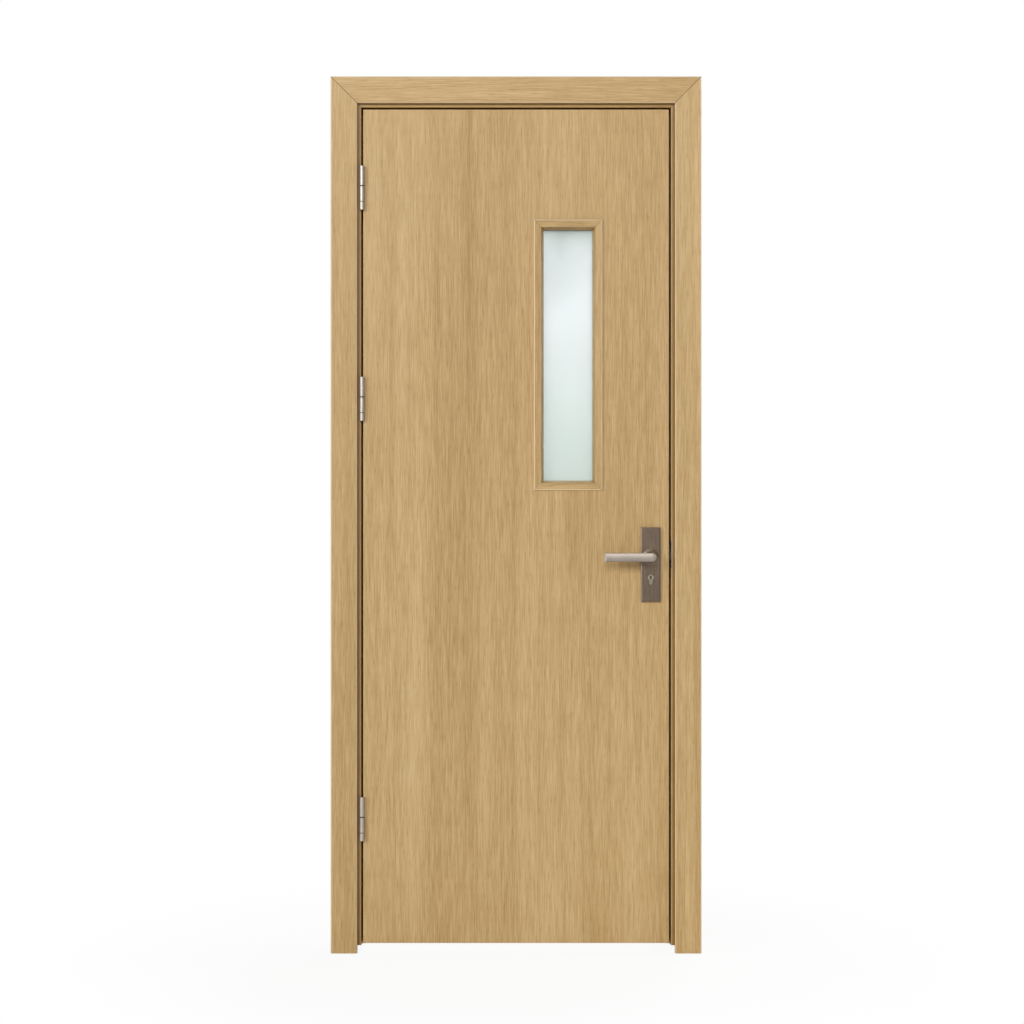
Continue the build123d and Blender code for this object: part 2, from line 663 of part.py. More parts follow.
grip_y = FRONT_Y - LEVER_PROJECTION + LEVER_T
socket_y = FRONT_Y - NECK_FOOT - SOCKET_DEPTH
lever_half = LEVER_H / 2
lever_edge = LEVER_T - LEVER_CROWN
across_lever = Plane(origin=(SPINDLE_X, grip_y, SPINDLE_Z), x_dir=(0, 0, 1), z_dir=(1, 0, 0))
with BuildPart() as front_lever:
    with BuildSketch(across_lever) as lever_section:
        with BuildLine():
            Polyline((-lever_half, lever_edge), (-lever_half, 0), (lever_half, 0), (lever_half, lever_edge))
            ThreePointArc((lever_half, lever_edge), (0, LEVER_T), (-lever_half, lever_edge))
        make_face()
        for side in (-lever_half, lever_half):
            fillet(lever_section.vertices().sort_by_distance((side, lever_edge, 0))[0], LEVER_ROUND)
    extrude(lever_section.sketch, amount=-LEVER_REACH)
    with BuildSketch(across_lever) as upper_half:
        add(lever_section.sketch_local)
        split(bisect_by=Plane.YZ, keep=Keep.TOP)
    revolve(upper_half.sketch, axis=Axis((SPINDLE_X, grip_y, SPINDLE_Z), (0, 1, 0)), revolution_arc=180)
    bevel_root = (SPINDLE_X - LEVER_REACH + LEVER_BEVEL_L, grip_y - LEVER_T, SPINDLE_Z)
    split(bisect_by=Plane(bevel_root, z_dir=(-LEVER_BEVEL_D, -LEVER_BEVEL_L, 0)), keep=Keep.BOTTOM)
    rod_y(NECK_R, SPINDLE_X, SPINDLE_Z, grip_y, FRONT_Y - NECK_FOOT)
    neck_root = front_lever.edges().filter_by(GeomType.CIRCLE)
    chamfer(neck_root.sort_by_distance((SPINDLE_X, grip_y, SPINDLE_Z - NECK_R))[0], NECK_CHAMFER)
    socket_half = SPINDLE_A / 2 + SOCKET_CLEAR
    socket_low = (SPINDLE_X - socket_half, socket_y, SPINDLE_Z - socket_half)
    socket_high = (SPINDLE_X + socket_half, FRONT_Y, SPINDLE_Z + socket_half)
    block(socket_low, socket_high, mode=Mode.SUBTRACT)
save(front_lever.part, "front_lever")
save(front_lever.part.mirror(leaf_middle), "back_lever")

with BuildPart() as spindle:
    with Locations((SPINDLE_X, MID_Y, SPINDLE_Z)):
        Box(SPINDLE_A, 2 * (MID_Y - socket_y), SPINDLE_A)
save(spindle.part, "spindle")

# Key cylinder, with a turning plug at the front
cyl_front = plate_y - CYL_PROUD
cyl_back = 2 * MID_Y - cyl_front
with BuildPart() as key_cylinder:
    with BuildSketch(facing(SPINDLE_X, cyl_back, CYL_Z)):
        cylinder_outline()
    extrude(amount=cyl_back - cyl_front)
    for end_face in key_cylinder.faces().filter_by(Axis.Y):
        chamfer(end_face.edges(), CYL_ARRIS)
    rod_y(PLUG_R + PLUG_CLEAR, SPINDLE_X, CYL_Z, cyl_front, cyl_front + PLUG_L, mode=Mode.SUBTRACT)
    with Locations((SPINDLE_X, cyl_back - KEYWAY_D / 2, CYL_Z)):
        Box(KEYWAY_W, KEYWAY_D, KEYWAY_H, mode=Mode.SUBTRACT)
save(key_cylinder.part, "key_cylinder")

plug_front = cyl_front - PLUG_PROUD
with BuildPart() as cylinder_plug:
    rod_y(PLUG_R, SPINDLE_X, CYL_Z, plug_front, cyl_front + PLUG_L)
    with Locations((SPINDLE_X, plug_front + KEYWAY_D / 2, CYL_Z)):
        Box(KEYWAY_W, KEYWAY_D, KEYWAY_H, mode=Mode.SUBTRACT)
save(cylinder_plug.part, "cylinder_plug")
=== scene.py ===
"""Looks of the glazed door: oak-effect foil, satin glass, metals, screws, studio light and camera.

Metres, in the frame of the solids: X from the hinge side to the lock side, -Y out of the front, Z up.
"""

import json
from math import cos, pi, radians, sin

import bpy
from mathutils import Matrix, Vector


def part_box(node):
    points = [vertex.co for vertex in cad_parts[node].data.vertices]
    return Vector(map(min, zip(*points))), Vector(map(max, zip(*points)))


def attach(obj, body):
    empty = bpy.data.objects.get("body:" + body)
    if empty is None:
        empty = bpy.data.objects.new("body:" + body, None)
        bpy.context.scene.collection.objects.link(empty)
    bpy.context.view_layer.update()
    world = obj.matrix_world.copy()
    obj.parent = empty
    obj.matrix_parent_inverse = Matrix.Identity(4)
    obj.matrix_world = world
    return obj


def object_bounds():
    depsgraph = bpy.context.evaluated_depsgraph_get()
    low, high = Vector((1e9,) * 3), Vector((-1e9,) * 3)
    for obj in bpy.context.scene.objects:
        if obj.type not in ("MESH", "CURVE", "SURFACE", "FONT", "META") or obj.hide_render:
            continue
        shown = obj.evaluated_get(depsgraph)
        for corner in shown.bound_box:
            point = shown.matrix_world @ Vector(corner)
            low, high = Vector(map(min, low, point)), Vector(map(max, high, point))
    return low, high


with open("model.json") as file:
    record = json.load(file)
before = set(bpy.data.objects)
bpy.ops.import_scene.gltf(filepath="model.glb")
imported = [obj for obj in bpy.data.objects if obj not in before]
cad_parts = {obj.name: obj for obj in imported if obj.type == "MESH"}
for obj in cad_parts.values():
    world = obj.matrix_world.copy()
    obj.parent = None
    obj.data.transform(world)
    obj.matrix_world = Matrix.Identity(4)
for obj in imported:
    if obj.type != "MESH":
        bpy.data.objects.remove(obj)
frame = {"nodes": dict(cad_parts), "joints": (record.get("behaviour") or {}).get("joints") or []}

solid_low, solid_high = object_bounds()
nodes = frame["nodes"]
MM = 0.001

# Camera
CAMERA_DISTANCE = 5.5
FRAME_SPAN = 2.5
CAMERA_X = 0.401
CAMERA_Z = 0.078
SENSOR = 36.0

# Lamps: degrees to the right of the front and above it, distance, size and watts
LAMPS = {
    "upper": (-4.0, 21.0, 18.0, 5.5, 1045.0),
    "left": (-40.0, 14.0, 28.0, 11.0, 2890.0),
    "back": (155.0, 30.0, 18.0, 8.0, 1900.0),
    "right": (100.0, 15.0, 20.0, 6.0, 1600.0),
}
FILL_STRENGTH = 0.18
MIRROR_SHARE = 0.4

# Floor: its glow where it shows the object's shadow, and how far from the object it turns pure white
FLOOR_SPAN = 40.0
FLOOR_GLOW = 0.92
SHADOW_REACH = (0.5, 1.3)

# Screws: diameters and facets of their heads, and their places on what they hold
HINGE_SCREW = 8 * MM
LOCK_SCREW = 7 * MM
PLATE_SCREW = 6 * MM
HEAD_SEGMENTS = 32
HEAD_RINGS = 16
SCREW_EDGE = 9 * MM
FLAP_DEPTH = 30 * MM
FLAP_COLUMNS = (0.7, 0.35, 0.7)
COLLAR_HEIGHT = 3 * MM

# Index of refraction of foil and glass
CLEAR_IOR = 1.5


def linear(colour):
    """An sRGB hex colour as linear RGBA."""
    channels = [int(colour[i : i + 2], 16) / 255 for i in (1, 3, 5)]
    return [c / 12.92 if c <= 0.04045 else ((c + 0.055) / 1.055) ** 2.4 for c in channels] + [1.0]


def node(tree, kind, inputs=None, stops=(), **settings):
    """Adds a node with its settings, its values and links, and the stops of its colour band."""
    made = tree.nodes.new(kind)
    for name, value in settings.items():
        setattr(made, name, value)
    for key, value in (inputs or {}).items():
        if isinstance(value, bpy.types.Node):
            value = value.outputs[0]
        if isinstance(value, bpy.types.NodeSocket):
            tree.links.new(value, made.inputs[key])
        else:
            made.inputs[key].default_value = value
    for index, (place, colour) in enumerate(stops):
        band = made.color_ramp.elements
        stop = band[index] if index < 2 else band.new(place)
        stop.position = place
        stop.color = linear(colour)
    return made


def material(name):
    """A new material: its tree, its shader and the coordinates of its piece."""
    made = bpy.data.materials.new(name)
    made.use_nodes = True
    tree = made.node_tree
    return made, tree, tree.nodes["Principled BSDF"], node(tree, "ShaderNodeTexCoord").outputs


def lumps(*sizes):
    """The scale of a pattern whose lumps have these sizes in mm along X, Y and Z."""
    return [1 / (size * MM) for size in sizes]


def sides_of(tree, place, low, high, closed):
    """A frame round two corners: masks of its cross members and mitres, and the distance outwards."""
    split = node(tree, "ShaderNodeSeparateXYZ", {"Vector": place})
    half_x = (high.x - low.x) / 2
    half_z = (high.z - low.z) / 2
    from_edge = {}
    for axis, middle, half in (("X", low.x + half_x, half_x), ("Z", low.z + half_z, half_z)):
        offset = node(tree, "ShaderNodeMath", {0: split.outputs[axis], 1: middle}, operation="SUBTRACT")
        if closed or axis == "X":
            offset = node(tree, "ShaderNodeMath", {0: offset}, operation="ABSOLUTE")
        from_edge[axis] = node(tree, "ShaderNodeMath", {0: offset, 1: half}, operation="SUBTRACT")
    across = node(tree, "ShaderNodeMath", {0: from_edge["Z"], 1: from_edge["X"]}, operation="GREATER_THAN")
    mitre = node(
        tree,
        "ShaderNodeMath",
        {0: from_edge["Z"], 1: from_edge["X"], 2: MITRE_LINE},
        operation="COMPARE",
    )
    farthest = node(tree, "ShaderNodeMath", {0: from_edge["Z"], 1: from_edge["X"]}, operation="MAXIMUM")
    return across, mitre, farthest


# Oak-effect PVC foil, printed and embossed over board: straight pale grain with short pores, a dull satin,
# smoother and painted paler at arrises (painted highlight), dark at cut mitres, painted shade where lining
# meets architraves.
# The finest fibres are printed about 0.5 mm wide and the pores 0.3 mm; here both are about 2 mm, to show.
OAK = ((0.0, "#A17F44"), (0.5, "#BF9D67"), (1.0, "#D6B988"))
# Darker copies of the print, painted shade: the deep one on the lipping of rails and stiles for the gaps
# round the leaf, the lining one for the quirks.
OAK_PAINTED_SHADE_DEEP = ((0.0, "#7A571A"), (0.5, "#967334"), (1.0, "#AA8B4E"))
OAK_PAINTED_SHADE_LINING = ((0.0, "#855E18"), (0.5, "#A47D38"), (1.0, "#BA9756"))
OAK_SATIN = (0.42, 0.54)
SWAY_SIZES = (160, 160, 700)
OAK_SWAY = 7 * MM
PORE_SIZES = (2, 2, 26)
PORE_BAND = (0.52, 0.78)
PORE_TONE = -0.36
EMBOSS_DEPTH = 0.15 * MM
EMBOSS_BUMP = 0.25

# Arrises painted paler, a painted highlight, and made smoother: the share of the normal along one axis
# where this starts and is full
OAK_PAINTED_HIGHLIGHT = "#F2DDB9"
ARRIS_BAND = (0.985, 0.92)
ARRIS_POLISH = -0.2

# Cut mitres, and painted shade in the angle between lining and architraves
OAK_CUT = "#6B4A1E"
CUT_SHARE = 0.6
MITRE_LINE = 1.1 * MM
OAK_PAINTED_CORNER_SHADE = "#452802"
PAINTED_SHADE_SPREAD = 6.5 * MM
PAINTED_SHADE_SHARE = 0.85
PAINTED_SHADE_LAP = 1 * MM

# Layers of the grain: lumps in mm across, through and along it, detail, roughness and weight
OAK_LAYERS = (
    ((190, 190, 3000), 1.0, 0.5, 0.66),
    ((90, 60, 2400), 1.0, 0.8, 0.52),
    ((30, 30, 1300), 0.0, 0.5, 0.29),
    ((12, 12, 600), 0.0, 0.5, 0.25),
    ((2.2, 2.2, 66), 0.0, 0.5, 0.74),
)


def oak_foil(name, offset, highlight_and_polish, frame_corners=None, closed=False, across=False, shades=OAK, painted_shade_inset=None):
    """Foil whose grain runs up, across, or along the sides of a mitred frame.

    Arrises are painted paler by the given share, a painted highlight, and made smoother.
    The angle that lies the given distance inside the frame's outline is painted dark, as painted shade.
    """
    made, tree, shader, spots = material(name)
    upright = node(tree, "ShaderNodeVectorMath", {0: spots["Object"], 1: offset}, operation="ADD")
    parts = node(tree, "ShaderNodeSeparateXYZ", {"Vector": upright}).outputs
    turned = node(tree, "ShaderNodeCombineXYZ", {"X": parts["Z"], "Y": parts["Y"], "Z": parts["X"]})
    place = turned if across else upright
    if frame_corners:
        side, mitre, outwards = sides_of(tree, spots["Object"], *frame_corners, closed)
        place = node(tree, "ShaderNodeMix", {0: side, 4: upright, 5: turned}, data_type="VECTOR").outputs[1]

    wide = node(tree, "ShaderNodeMapping", {"Vector": place, "Scale": lumps(*SWAY_SIZES)})
    sway = node(tree, "ShaderNodeTexNoise", {"Vector": wide, "Scale": 1.0, "Detail": 1.0})
    sideways = node(
        tree, "ShaderNodeMath", {0: sway, 1: OAK_SWAY, 2: -OAK_SWAY / 2}, operation="MULTIPLY_ADD"
    )
    shift = node(tree, "ShaderNodeCombineXYZ", {"X": sideways})
    place = node(tree, "ShaderNodeVectorMath", {0: place, 1: shift}, operation="ADD")

    tone = 0.5 - sum(weight for sizes, detail, roughness, weight in OAK_LAYERS) / 2
    for sizes, detail, roughness, weight in OAK_LAYERS:
        drawn = node(tree, "ShaderNodeMapping", {"Vector": place, "Scale": lumps(*sizes)})
        fibres = node(
            tree,
            "ShaderNodeTexNoise",
            {"Vector": drawn, "Scale": 1.0, "Detail": detail, "Roughness": roughness},
        )
        tone = node(tree, "ShaderNodeMath", {0: fibres, 1: weight, 2: tone}, operation="MULTIPLY_ADD")
    drawn = node(tree, "ShaderNodeMapping", {"Vector": place, "Scale": lumps(*PORE_SIZES)})
    pores = node(tree, "ShaderNodeTexNoise", {"Vector": drawn, "Scale": 1.0})
    pits = node(
        tree, "ShaderNodeMapRange", {"Value": pores, "From Min": PORE_BAND[0], "From Max": PORE_BAND[1]}
    )
    tone = node(tree, "ShaderNodeMath", {0: pits, 1: PORE_TONE, 2: tone}, operation="MULTIPLY_ADD")
    print_colour = node(tree, "ShaderNodeValToRGB", {"Fac": tone}, stops=shades)

    square = node(tree, "ShaderNodeVectorMath", {0: spots["Normal"]}, operation="ABSOLUTE")
    sides = node(tree, "ShaderNodeSeparateXYZ", {"Vector": square}).outputs
    flattest = node(tree, "ShaderNodeMath", {0: sides["X"], 1: sides["Y"]}, operation="MAXIMUM")
    flattest = node(tree, "ShaderNodeMath", {0: flattest, 1: sides["Z"]}, operation="MAXIMUM")
    # Arrises found by their slanted normals: painted paler as a painted highlight, and smoother.
    arris_highlight_and_polish = node(
        tree,
        "ShaderNodeMapRange",
        {"Value": flattest, "From Min": ARRIS_BAND[0], "From Max": ARRIS_BAND[1], "To Max": highlight_and_polish},
    )
    # On a closed frame only the outer arrises take the painted highlight.
    if closed:
        outside = node(tree, "ShaderNodeMath", {0: outwards, 1: 0.0}, operation="GREATER_THAN")
        arris_highlight_and_polish = node(tree, "ShaderNodeMath", {0: arris_highlight_and_polish, 1: outside}, operation="MULTIPLY")
    colour = node(
        tree, "ShaderNodeMix", {0: arris_highlight_and_polish, 6: print_colour, 7: linear(OAK_PAINTED_HIGHLIGHT)}, data_type="RGBA"
    )
    if frame_corners and not closed:
        cut = node(tree, "ShaderNodeMath", {0: mitre, 1: CUT_SHARE}, operation="MULTIPLY")
        colour = node(
            tree,
            "ShaderNodeMix",
            {0: cut, 6: colour.outputs[2], 7: linear(OAK_CUT)},
            data_type="RGBA",
        )
    # The angle between lining and architraves is painted dark: painted shade.
    if painted_shade_inset:
        corner_shade_mask = node(
            tree,
            "ShaderNodeMapRange",
            {"Value": outwards, "From Min": -painted_shade_inset - PAINTED_SHADE_SPREAD, "From Max": -painted_shade_inset, "To Max": PAINTED_SHADE_SHARE},
        )
        exposed = node(tree, "ShaderNodeMath", {0: outwards, 1: PAINTED_SHADE_LAP - painted_shade_inset}, operation="LESS_THAN")
        corner_shade_mask = node(tree, "ShaderNodeMath", {0: corner_shade_mask, 1: exposed}, operation="MULTIPLY")
        colour = node(
            tree,
            "ShaderNodeMix",
            {0: corner_shade_mask, 6: colour.outputs[2], 7: linear(OAK_PAINTED_CORNER_SHADE)},
            data_type="RGBA",
        )
    tree.links.new(colour.outputs[2], shader.inputs["Base Color"])
    dullness = node(
        tree, "ShaderNodeMapRange", {"Value": fibres, "To Min": OAK_SATIN[0], "To Max": OAK_SATIN[1]}
    )
    rubbed = node(
        tree, "ShaderNodeMath", {0: arris_highlight_and_polish, 1: ARRIS_POLISH, 2: dullness}, operation="MULTIPLY_ADD"
    )
    tree.links.new(rubbed.outputs[0], shader.inputs["Roughness"])
    height = node(tree, "ShaderNodeMath", {0: pits, 1: -1.0, 2: fibres}, operation="MULTIPLY_ADD")
    bump = node(
        tree,
        "ShaderNodeBump",
        {"Strength": EMBOSS_BUMP, "Distance": EMBOSS_DEPTH, "Height": height},
    )
    tree.links.new(bump.outputs[0], shader.inputs["Normal"])
    shader.inputs["IOR"].default_value = CLEAR_IOR
    return made


# Brushed and turned metals: fine parallel lines over soft clouds, so that a highlight is drawn out across
# them; a recess is painted dark, as painted shade. Real lines are about 0.2 mm wide; here they are over 1
# mm, to show.
PAINTED_RECESS_SHADE = "#15110D"
PIN_RADIUS = 5.2 * MM
PLUG_FACE = 0.8 * MM
PLUG_LENGTH = 40 * MM
CLOUD_SIZES = (35, 35, 35)
LINE_SHARE = 1.1
CLOUD_SHARE = 0.5
METAL_TONE = -0.3
ROUGHNESS_SPREAD = 0.08
LINE_ROUGHNESS = 0.7
LINE_DEPTH = 0.05 * MM
LINE_BUMP = 0.12


def brushed_metal(name, dark, light, roughness, line, recess=None):
    """Metal with fine lines from the brush or the lathe; line is the size of one in mm.

    A recess is a point, the axes in which the distance from it counts, and the least and the greatest
    distance that are painted dark, as painted shade.
    """
    made, tree, shader, spots = material(name)
    drawn = node(tree, "ShaderNodeMapping", {"Vector": spots["Object"], "Scale": lumps(*line)})
    scratches = node(
        tree,
        "ShaderNodeTexNoise",
        {"Vector": drawn, "Scale": 1.0, "Detail": 2.0, "Roughness": LINE_ROUGHNESS},
    )
    wide = node(tree, "ShaderNodeMapping", {"Vector": spots["Object"], "Scale": lumps(*CLOUD_SIZES)})
    clouds = node(tree, "ShaderNodeTexNoise", {"Vector": wide, "Scale": 1.0, "Detail": 1.0})
    tone = node(
        tree, "ShaderNodeMath", {0: scratches, 1: LINE_SHARE, 2: METAL_TONE}, operation="MULTIPLY_ADD"
    )
    tone = node(tree, "ShaderNodeMath", {0: clouds, 1: CLOUD_SHARE, 2: tone}, operation="MULTIPLY_ADD")
    colour = node(tree, "ShaderNodeValToRGB", {"Fac": tone}, stops=((0.0, dark), (1.0, light))).outputs[0]
    if recess:
        point, axes, nearest, farthest = recess
        offset = node(tree, "ShaderNodeVectorMath", {0: spots["Object"], 1: point}, operation="SUBTRACT")
        counted = node(tree, "ShaderNodeVectorMath", {0: offset, 1: axes}, operation="MULTIPLY")
        reach = node(tree, "ShaderNodeVectorMath", {0: counted}, operation="LENGTH").outputs["Value"]
        half = (farthest - nearest) / 2
        # The recess is painted dark: painted shade.
        recess_shade = node(
            tree, "ShaderNodeMath", {0: reach, 1: nearest + half, 2: half}, operation="COMPARE"
        )
        colour = node(
            tree, "ShaderNodeMix", {0: recess_shade, 6: colour, 7: linear(PAINTED_RECESS_SHADE)}, data_type="RGBA"
        ).outputs[2]
    tree.links.new(colour, shader.inputs["Base Color"])
    dullness = node(
        tree,
        "ShaderNodeMapRange",
        {
            "Value": scratches,
            "To Min": roughness - ROUGHNESS_SPREAD,
            "To Max": roughness + ROUGHNESS_SPREAD,
        },
    )
    tree.links.new(dullness.outputs[0], shader.inputs["Roughness"])
    bump = node(
        tree,
        "ShaderNodeBump",
        {"Strength": LINE_BUMP, "Distance": LINE_DEPTH, "Height": scratches},
    )
    tree.links.new(bump.outputs[0], shader.inputs["Normal"])
    shader.inputs["Metallic"].default_value = 1.0
    return made


# Acid-etched float glass: a soft white veil, faintly green and clouded, painted brightest in its upper half
# as painted light, darker towards the bottom, and with a painted shadow of the bead along its top edge.
# The etching's grain is under 0.1 mm; here it is 1.5 mm, to show.
VEIL_WITH_PAINTED_LIGHT = ((0.0, "#CEDAD4"), (0.3, "#D7E1DD"), (0.68, "#E2E8E9"), (0.9, "#D0D8D7"), (1.0, "#ACB7B0"))
VEIL_CLOUDS = (90, 90, 110)
VEIL_SPREAD = 0.2
ETCH_SIZES = (1.5, 1.5, 1.5)
ETCH_ROUGHNESS = (0.5, 0.62)
ETCH_TRANSMISSION = 0.8


def satin_glass(name, low, high):
    """Etched glass between two corners of its pane."""
    made, tree, shader, spots = material(name)
    wide = node(tree, "ShaderNodeMapping", {"Vector": spots["Object"], "Scale": lumps(*VEIL_CLOUDS)})
    clouds = node(tree, "ShaderNodeTexNoise", {"Vector": wide, "Scale": 1.0, "Detail": 1.0})
    height = node(tree, "ShaderNodeSeparateXYZ", {"Vector": spots["Object"]}).outputs["Z"]
    # The veil's colour follows the height: painted light, and the bead's painted shadow at the top.
    rise = node(tree, "ShaderNodeMapRange", {"Value": height, "From Min": low.z, "From Max": high.z})
    tone = node(
        tree, "ShaderNodeMath", {0: clouds, 1: VEIL_SPREAD, 2: -VEIL_SPREAD / 2}, operation="MULTIPLY_ADD"
    )
    tone = node(tree, "ShaderNodeMath", {0: tone, 1: rise}, operation="ADD")
    veil = node(tree, "ShaderNodeValToRGB", {"Fac": tone}, stops=VEIL_WITH_PAINTED_LIGHT)
    tree.links.new(veil.outputs[0], shader.inputs["Base Color"])
    fine = node(tree, "ShaderNodeMapping", {"Vector": spots["Object"], "Scale": lumps(*ETCH_SIZES)})
    etch = node(tree, "ShaderNodeTexNoise", {"Vector": fine, "Scale": 1.0})
    frost = node(
        tree,
        "ShaderNodeMapRange",
        {"Value": etch, "To Min": ETCH_ROUGHNESS[0], "To Max": ETCH_ROUGHNESS[1]},
    )
    tree.links.new(frost.outputs[0], shader.inputs["Roughness"])
    shader.inputs["Transmission Weight"].default_value = ETCH_TRANSMISSION
    shader.inputs["IOR"].default_value = CLEAR_IOR
    return made


# Rubber, nylon and pressed board: nearly one colour, with a fine uneven dullness and hardly a highlight.
POLYMER_BUMP = 0.2
POLYMER_BAND = (0.25, 0.75)
POLYMER_SPREAD = 0.1
POLYMER_DEPTH = 0.05 * MM


def dull_polymer(name, dark, light, roughness, lump):
    """Extruded or moulded polymer, or pressed board; lump is the size of its mottling in mm."""
    made, tree, shader, spots = material(name)
    fine = node(tree, "ShaderNodeMapping", {"Vector": spots["Object"], "Scale": lumps(lump, lump, lump)})
    mottle = node(tree, "ShaderNodeTexNoise", {"Vector": fine, "Scale": 1.0, "Detail": 2.0})
    shades = tuple(zip(POLYMER_BAND, (dark, light)))
    colour = node(tree, "ShaderNodeValToRGB", {"Fac": mottle}, stops=shades)
    tree.links.new(colour.outputs[0], shader.inputs["Base Color"])
    dullness = node(
        tree,
        "ShaderNodeMapRange",
        {"Value": mottle, "To Min": roughness - POLYMER_SPREAD, "To Max": roughness + POLYMER_SPREAD},
    )
    tree.links.new(dullness.outputs[0], shader.inputs["Roughness"])
    bump = node(
        tree,
        "ShaderNodeBump",
        {"Strength": POLYMER_BUMP, "Distance": POLYMER_DEPTH, "Height": mottle},
    )
    tree.links.new(bump.outputs[0], shader.inputs["Normal"])
    return made


lining = (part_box("hinge_jamb")[0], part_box("lock_jamb")[1])
architrave_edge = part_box("front_architrave_hinge")[1].x - lining[0].x
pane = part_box("glass_pane")
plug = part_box("cylinder_plug")[0]
swing = next(joint for joint in frame["joints"] if joint["name"] == "leaf_swing")
# The hinge's knuckles near the pin and the plug's keyway are painted dark: painted shade.
hinge_pin = (swing["pos_m"], (1, 1, 0), 0.0, PIN_RADIUS)
keyway = (plug, (0, 1, 0), PLUG_FACE, PLUG_LENGTH)

# Each foil gets an offset of its own, so that no two pieces show the same grain.
FINISHES = {
    # The third value is the share of painted highlight at the arrises, which also makes them smoother.
    "leaf": oak_foil("oak_effect_foil_on_the_leaf", (0.62, 0.0, 0.2), 0.3),
    # Rails, stiles and lining take darker copies of the print: painted shade in the gaps and quirks.
    "rails": oak_foil(
        "oak_effect_lipping_on_the_rails", (1.7, 0.4, 2.1), 0.3, across=True, shades=OAK_PAINTED_SHADE_DEEP
    ),
    "stiles": oak_foil("oak_effect_lipping_on_the_stiles", (2.3, 0.9, 1.1), 0.3, shades=OAK_PAINTED_SHADE_DEEP),
    # The lining is also painted dark in its angle with the architraves: painted shade.
    "lining": oak_foil(
        "oak_effect_foil_on_the_lining",
        (3.3, 1.2, 4.0),
        0.3,
        lining,
        shades=OAK_PAINTED_SHADE_LINING,
        painted_shade_inset=architrave_edge,
    ),
    "architraves": oak_foil("oak_effect_foil_on_the_architraves", (5.9, 2.3, 7.1), 0.5, lining),
    "beads": oak_foil("oak_effect_foil_on_the_beads", (8.1, 3.2, 9.4), 0.9, pane, closed=True),
    "glass": satin_glass("satin_etched_glass", *pane),
    "rubber": dull_polymer("black_extruded_rubber", "#0B0B0B", "#171716", 0.7, 3),
    "nylon": dull_polymer("dark_moulded_nylon", "#1A1917", "#2A2825", 0.5, 2),
    "board": dull_polymer("pressed_core_board", "#8F7A5A", "#B9A27C", 0.85, 4),
    "hinge": brushed_metal("satin_turned_steel", "#A89F95", "#C4BBB0", 0.43, (12, 12, 1.2), hinge_pin),
    "screws": brushed_metal("yellow_zinc_on_steel", "#6E6450", "#8F8468", 0.42, (3, 3, 3)),
    "lock": brushed_metal("satin_brushed_steel", "#A5A29C", "#CFCCC5", 0.34, (1.2, 1.2, 40)),
    "strike": brushed_metal("brushed_pale_bronze", "#7D6E5C", "#9A8A74", 0.38, (1.2, 1.2, 40)),
    "lever": brushed_metal("satin_brushed_nickel", "#8E847A", "#AFA59A", 0.48, (40, 1.4, 1.4)),
    "plate": brushed_metal("brushed_dark_bronze", "#64574C", "#80705F", 0.29, (1.4, 1.4, 50)),
    "cylinder": brushed_metal("satin_nickel_on_brass", "#857C6C", "#A89E8B", 0.25, (1.2, 12, 1.2)),
    "plug": brushed_metal(
        "satin_nickel_on_brass_plug", "#857C6C", "#A89E8B", 0.3, (12, 1.2, 1.2), keyway
    ),
}
NODE_FINISH = (
    ("architrave", "architraves"),
    ("bead", "beads"),
    ("jamb", "lining"),
    ("stops", "lining"),
    ("rail", "rails"),
    ("skin", "leaf"),
    ("stile", "stiles"),
    ("core", "board"),
    ("glass", "glass"),
    ("gasket", "rubber"),
    ("seal", "rubber"),
    ("washers", "nylon"),
    ("half", "hinge"),
    ("lever", "lever"),
    ("handle_plate", "plate"),
    ("plug", "plug"),
    ("cylinder", "cylinder"),
    ("mortise_lock", "lock"),
    ("bolt", "lock"),
    ("spindle", "lock"),
    ("strike_plate", "strike"),
)

for name, solid in nodes.items():
    solid.data.materials.clear()
    solid.data.materials.append(next(FINISHES[finish] for word, finish in NODE_FINISH if word in name))


